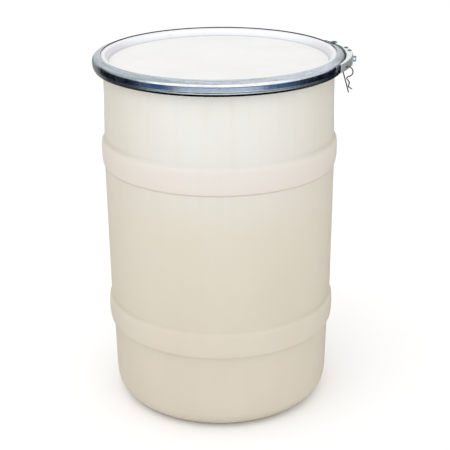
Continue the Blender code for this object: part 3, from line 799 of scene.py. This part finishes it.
def link_strap():
    """The strap that draws the ring's far end in, with an eye on each pin."""
    low, high = LINK_LOW[2], LINK_HIGH[2]
    start, end = azimuth(LINK_PIVOT), azimuth(KEEPER)
    pin = math.hypot(LINK_PIVOT.x, LINK_PIVOT.y)
    edge = 0.0004
    strap = turn("link_strap", [(pin + 0.0018, high - edge), (pin + 0.0038, high - edge),
                                (pin + 0.0038, low + edge), (pin + 0.0018, low + edge)],
                 segments=60, closed=True, start=start, end=end)
    for centre in (LINK_PIVOT, KEEPER):
        bottom, top = Vector((centre.x, centre.y, low)), Vector((centre.x, centre.y, high))
        carve(strap, "UNION", rod("eye", 0.0042, bottom, top, segments=48))
    carve(strap, "DIFFERENCE", upright("link_eye_hole", LINK_PIVOT), upright("keeper_eye_hole", KEEPER))
    soften(strap, 0.0003)
    return fit(strap, "strap", "galvanised_bracket", "link")


def headed_pin(name, node, body):
    """A rivet along Z with a domed head at each end, round the CAD rivet's own middle."""
    low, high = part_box(node)
    middle = middle_of(node)
    head, dome, shank = (high[0] - low[0]) / 2, 0.0014, 0.0023
    top, bottom = high[2] - middle.z, low[2] - middle.z
    corners = [(0.0, top, 0), (head * 0.55, top, 0.0012), (head, top - dome * 0.55, 0.0008),
               (head, top - dome, 0), (shank, top - dome, 0), (shank, bottom + dome, 0),
               (head, bottom + dome, 0), (head, bottom + dome * 0.55, 0.0008),
               (head * 0.55, bottom, 0.0012), (0.0, bottom, 0)]
    pin = turn(name, rounded(corners), segments=40)
    pin.location = middle
    return fit(pin, body, "rivet_steel", node)


def small_rivet(name, node):
    """A rivet along a radius of the ring: a low dome outside, a flat head inside."""
    middle = middle_of(node)
    outer, wall = BASE_OUTER + 0.0003, RING - SHEET - 0.0009
    head, shank, inside = 0.0026, 0.0015, wall - 0.0006
    corners = [(0.0, outer + 0.0011, 0), (0.0016, outer + 0.0010, 0.0006), (0.0027, outer + 0.0002, 0.0005),
               (head, outer, 0), (shank, outer, 0), (shank, wall, 0), (head, wall, 0),
               (head, inside, 0.0003), (0.0, inside, 0)]
    rivet = turn(name, rounded(corners), segments=28)
    rivet.rotation_mode = "QUATERNION"
    rivet.rotation_quaternion = polar(1.0, azimuth(middle)).to_track_quat("Z", "Y")
    rivet.location = (0.0, 0.0, middle.z)
    return fit(rivet, "ring", "rivet_steel", node)


def curve_through(points):
    """A smooth curve through the points (Catmull-Rom)."""
    steps = 8
    ends = [points[0], *points, points[-1]]
    made = []
    for a, b, c, d in zip(ends, ends[1:], ends[2:], ends[3:]):
        for i in range(steps):
            t = i / steps
            made.append(tuple(0.5 * (2 * q + (r - p) * t + (2 * p - 5 * q + 4 * r - s) * t * t
                                     + (3 * q - p - 3 * r + s) * t ** 3) for p, q, r, s in zip(a, b, c, d)))
    return made + [points[-1]]


def r_pin_wire():
    """The safety clip: one bent wire with a straight stem, a round head through the lever, a wavy leg."""
    loop, lean, stem = 0.0098, math.radians(17.0), 0.040
    stem_top = Vector((-0.00477, -0.0115))
    head = arc_points((loop, 0.0), loop, 180, -100, 56)
    leg = curve_through([head[-1], (0.0050, -0.0110), (0.0036, -0.0134), (0.0056, -0.0176),
                         (0.0066, -0.0218), (0.0031, -0.0284), (0.0048, -0.0318), (0.0080, -0.0348)])
    straight = [(0.0, -stem * (1 - i / 8)) for i in range(8)]
    across = polar(1.0, azimuth(CLIP_HINGE))
    points = []
    for x, y in straight + head + leg[1:]:
        out = stem_top.x + x * math.cos(lean) - y * math.sin(lean)
        up = stem_top.y + x * math.sin(lean) + y * math.cos(lean)
        points.append(across * out + Vector((0, 0, up)))
    wire = tube("r_pin_wire", points, 0.00123)
    wire.location = CLIP_HINGE
    return fit(wire, "clip", "spring_wire", "r_clip")


def latch():
    lever_channel()
    fulcrum, keeper = azimuth(FULCRUM), azimuth(KEEPER)
    bracket_plate("fulcrum_plate", "fulcrum_bracket", fulcrum - 11.1, fulcrum + 3.9, FULCRUM, 0.0055)
    bracket_plate("keeper_plate", "keeper_bracket", keeper - 3.4, keeper + 5.4, KEEPER, 0.0070, mouth=15.5)
    tab_plate()
    link_strap()
    headed_pin("link_pin", "link_rivet", "handle")
    headed_pin("keeper_pin", "link_cross_pin", "strap")
    headed_pin("fulcrum_pin_upper", "fulcrum_rivet_upper", "ring")
    headed_pin("fulcrum_pin_lower", "fulcrum_rivet_lower", "ring")
    for piece in ("fulcrum_bracket", "keeper_bracket", "locking_tab"):
        for end in ("front", "rear"):
            small_rivet(f"{piece}_{end}_fixing", f"{piece}_rivet_{end}")
    r_pin_wire()


# ---------------------------------------------------------------- the scene

def floor():
    shape = bmesh.new()
    bmesh.ops.create_grid(shape, x_segments=8, y_segments=8, size=20.0)
    made = finish_mesh("studio_floor", shape)
    made.location.z = cad_box[0][2]
    made.data.materials.append(floor_finish())
    made.visible_glossy = False


def overhead_light():
    """One large soft lamp above the front left, which nothing mirrors."""
    data = bpy.data.lights.new("overhead_box", "AREA")
    data.shape = "SQUARE"
    data.size = 2.6
    data.energy = 17.0
    lamp = bpy.data.objects.new("overhead_box", data)
    place, aim = Vector((-0.7, -1.2, 3.2)), Vector((0, 0, 0.3))
    lamp.location = place
    lamp.rotation_mode = "QUATERNION"
    lamp.rotation_quaternion = (aim - place).to_track_quat("-Z", "Y")
    lamp.visible_glossy = False
    lamp.visible_camera = False
    bpy.context.scene.collection.objects.link(lamp)


# Colours of the room that shiny surfaces mirror
BLACK = (0.01, 0.01, 0.012)
NAVY = (0.005, 0.009, 0.020)
DUSK = (0.02, 0.03, 0.06)
SLATE = (0.16, 0.19, 0.22)
GREY = (0.54, 0.60, 0.62)
WARM = (0.80, 0.78, 0.72)
COOL = (0.95, 1.0, 0.98)
PALE = (0.95, 0.95, 0.99)
WHITE = (1.0, 1.0, 1.0)
GLARE = (1.7, 1.65, 1.6)

# Each wall of that room, as stops of (degrees above the horizon, colour)
WALLS = {
    "front": ((-62, BLACK), (-50, WARM), (-38, WARM), (-27, (0.09, 0.19, 0.30)), (-12, (0.055, 0.125, 0.26)),
              (5, (0.02, 0.04, 0.10)), (24, GLARE), (70, GLARE), (88, SLATE)),
    "middle": ((-62, BLACK), (-50, WARM), (-38, WHITE), (-27, (0.86, 0.95, 1.0)), (-12, (0.58, 0.69, 0.88)),
               (5, (0.10, 0.13, 0.22)), (24, GLARE), (70, GLARE), (88, SLATE)),
    "side": ((-60, BLACK), (-50, (0.24, 0.26, 0.22)), (-38, (0.24, 0.26, 0.23)), (-29, DUSK),
             (-18, NAVY), (11, NAVY), (24, GREY), (70, GREY), (88, SLATE)),
    "right": ((-60, BLACK), (-50, (0.42, 0.43, 0.36)), (-38, (0.42, 0.43, 0.37)), (-29, DUSK),
              (-18, NAVY), (11, NAVY), (24, PALE), (70, PALE), (88, SLATE)),
    "left": ((-60, WARM), (-22, (0.36, 0.36, 0.33)), (-5, (0.30, 0.32, 0.32)), (12, (0.55, 0.60, 0.60)),
             (30, (0.75, 0.80, 0.80)), (70, GREY), (88, SLATE)),
    "back": ((-50, WARM), (-25, (0.55, 0.58, 0.56)), (5, (0.75, 0.77, 0.80)), (20, COOL),
             (35, COOL), (70, (0.93, 0.97, 1.0)), (88, SLATE)),
}


def mirrored_room(made):
    """The walls, each blended into the next by the way looked: heading is -1 to the front, 1 to the back."""
    way = made.parts(made.node("TexCoord").outputs["Generated"])
    rise = made.math("ARCSINE", way["Z"])
    rise = made.node("Math", {0: rise, 1: 1 / math.pi, 2: 0.5}, operation="MULTIPLY_ADD").outputs[0]
    level = made.math("ADD", made.times(way["X"], way["X"]), made.times(way["Y"], way["Y"]))
    heading = made.math("DIVIDE", way["Y"], made.math("POWER", level, 0.5))
    wall = {}
    for name, stops in WALLS.items():
        placed = [(degrees / 180.0 + 0.5, colour) for degrees, colour in stops]
        wall[name] = made.ramp(rise, *placed, interpolation="EASE")
    to_left = made.times(made.remap(way["X"], -0.10, -0.20), made.remap(heading, 0.62, 0.80))
    around = made.mix(to_left, wall["side"], wall["left"])
    around = made.mix(made.remap(way["X"], 0.05, 0.20), around, wall["right"])
    around = made.mix(made.remap(heading, 0.945, 0.975), around, wall["back"])
    ahead = made.mix(made.remap(heading, -0.66, -0.88), wall["front"], wall["middle"])
    return made.mix(made.remap(heading, -0.08, -0.45), around, ahead)


def studio():
    """Even white light, while anything shiny mirrors a made-up room of softboxes and dark walls."""
    world = bpy.data.worlds.new("studio")
    bpy.context.scene.world = world
    world.use_nodes = True
    world.node_tree.nodes.clear()
    made = Nodes(world.node_tree)
    seen = made.node("Background", {"Color": (1.0, 1.0, 1.0, 1.0), "Strength": 1.03})
    reflected = made.node("Background", {"Color": mirrored_room(made), "Strength": 1.0})
    glossy = made.node("LightPath").outputs["Is Glossy Ray"]
    chosen = made.node("MixShader", {0: glossy, 1: seen.outputs[0], 2: reflected.outputs[0]})
    made.node("OutputWorld", {"Surface": chosen.outputs[0]})
    overhead_light()


def camera():
    """The view from above the drum's front, through a long lens."""
    data = bpy.data.cameras.new("camera")
    data.lens = 87.9
    data.sensor_width = 36.0
    made = bpy.data.objects.new("camera", data)
    pitch, yaw, roll = 0.3781, 0.004, -0.0063
    ahead = Vector((math.sin(yaw) * math.cos(pitch), math.cos(yaw) * math.cos(pitch), -math.sin(pitch)))
    made.location = (0.0016, -2.1922, 1.2379)
    made.rotation_mode = "QUATERNION"
    made.rotation_quaternion = ahead.to_track_quat("-Z", "Y") @ Quaternion((0, 0, 1), roll)
    bpy.context.scene.collection.objects.link(made)
    bpy.context.scene.camera = made


drum_shell()
lid_cover()
foam_gasket()
clamp_band()
latch()
floor()
studio()
camera()
bpy.context.scene.view_settings.view_transform = "Standard"
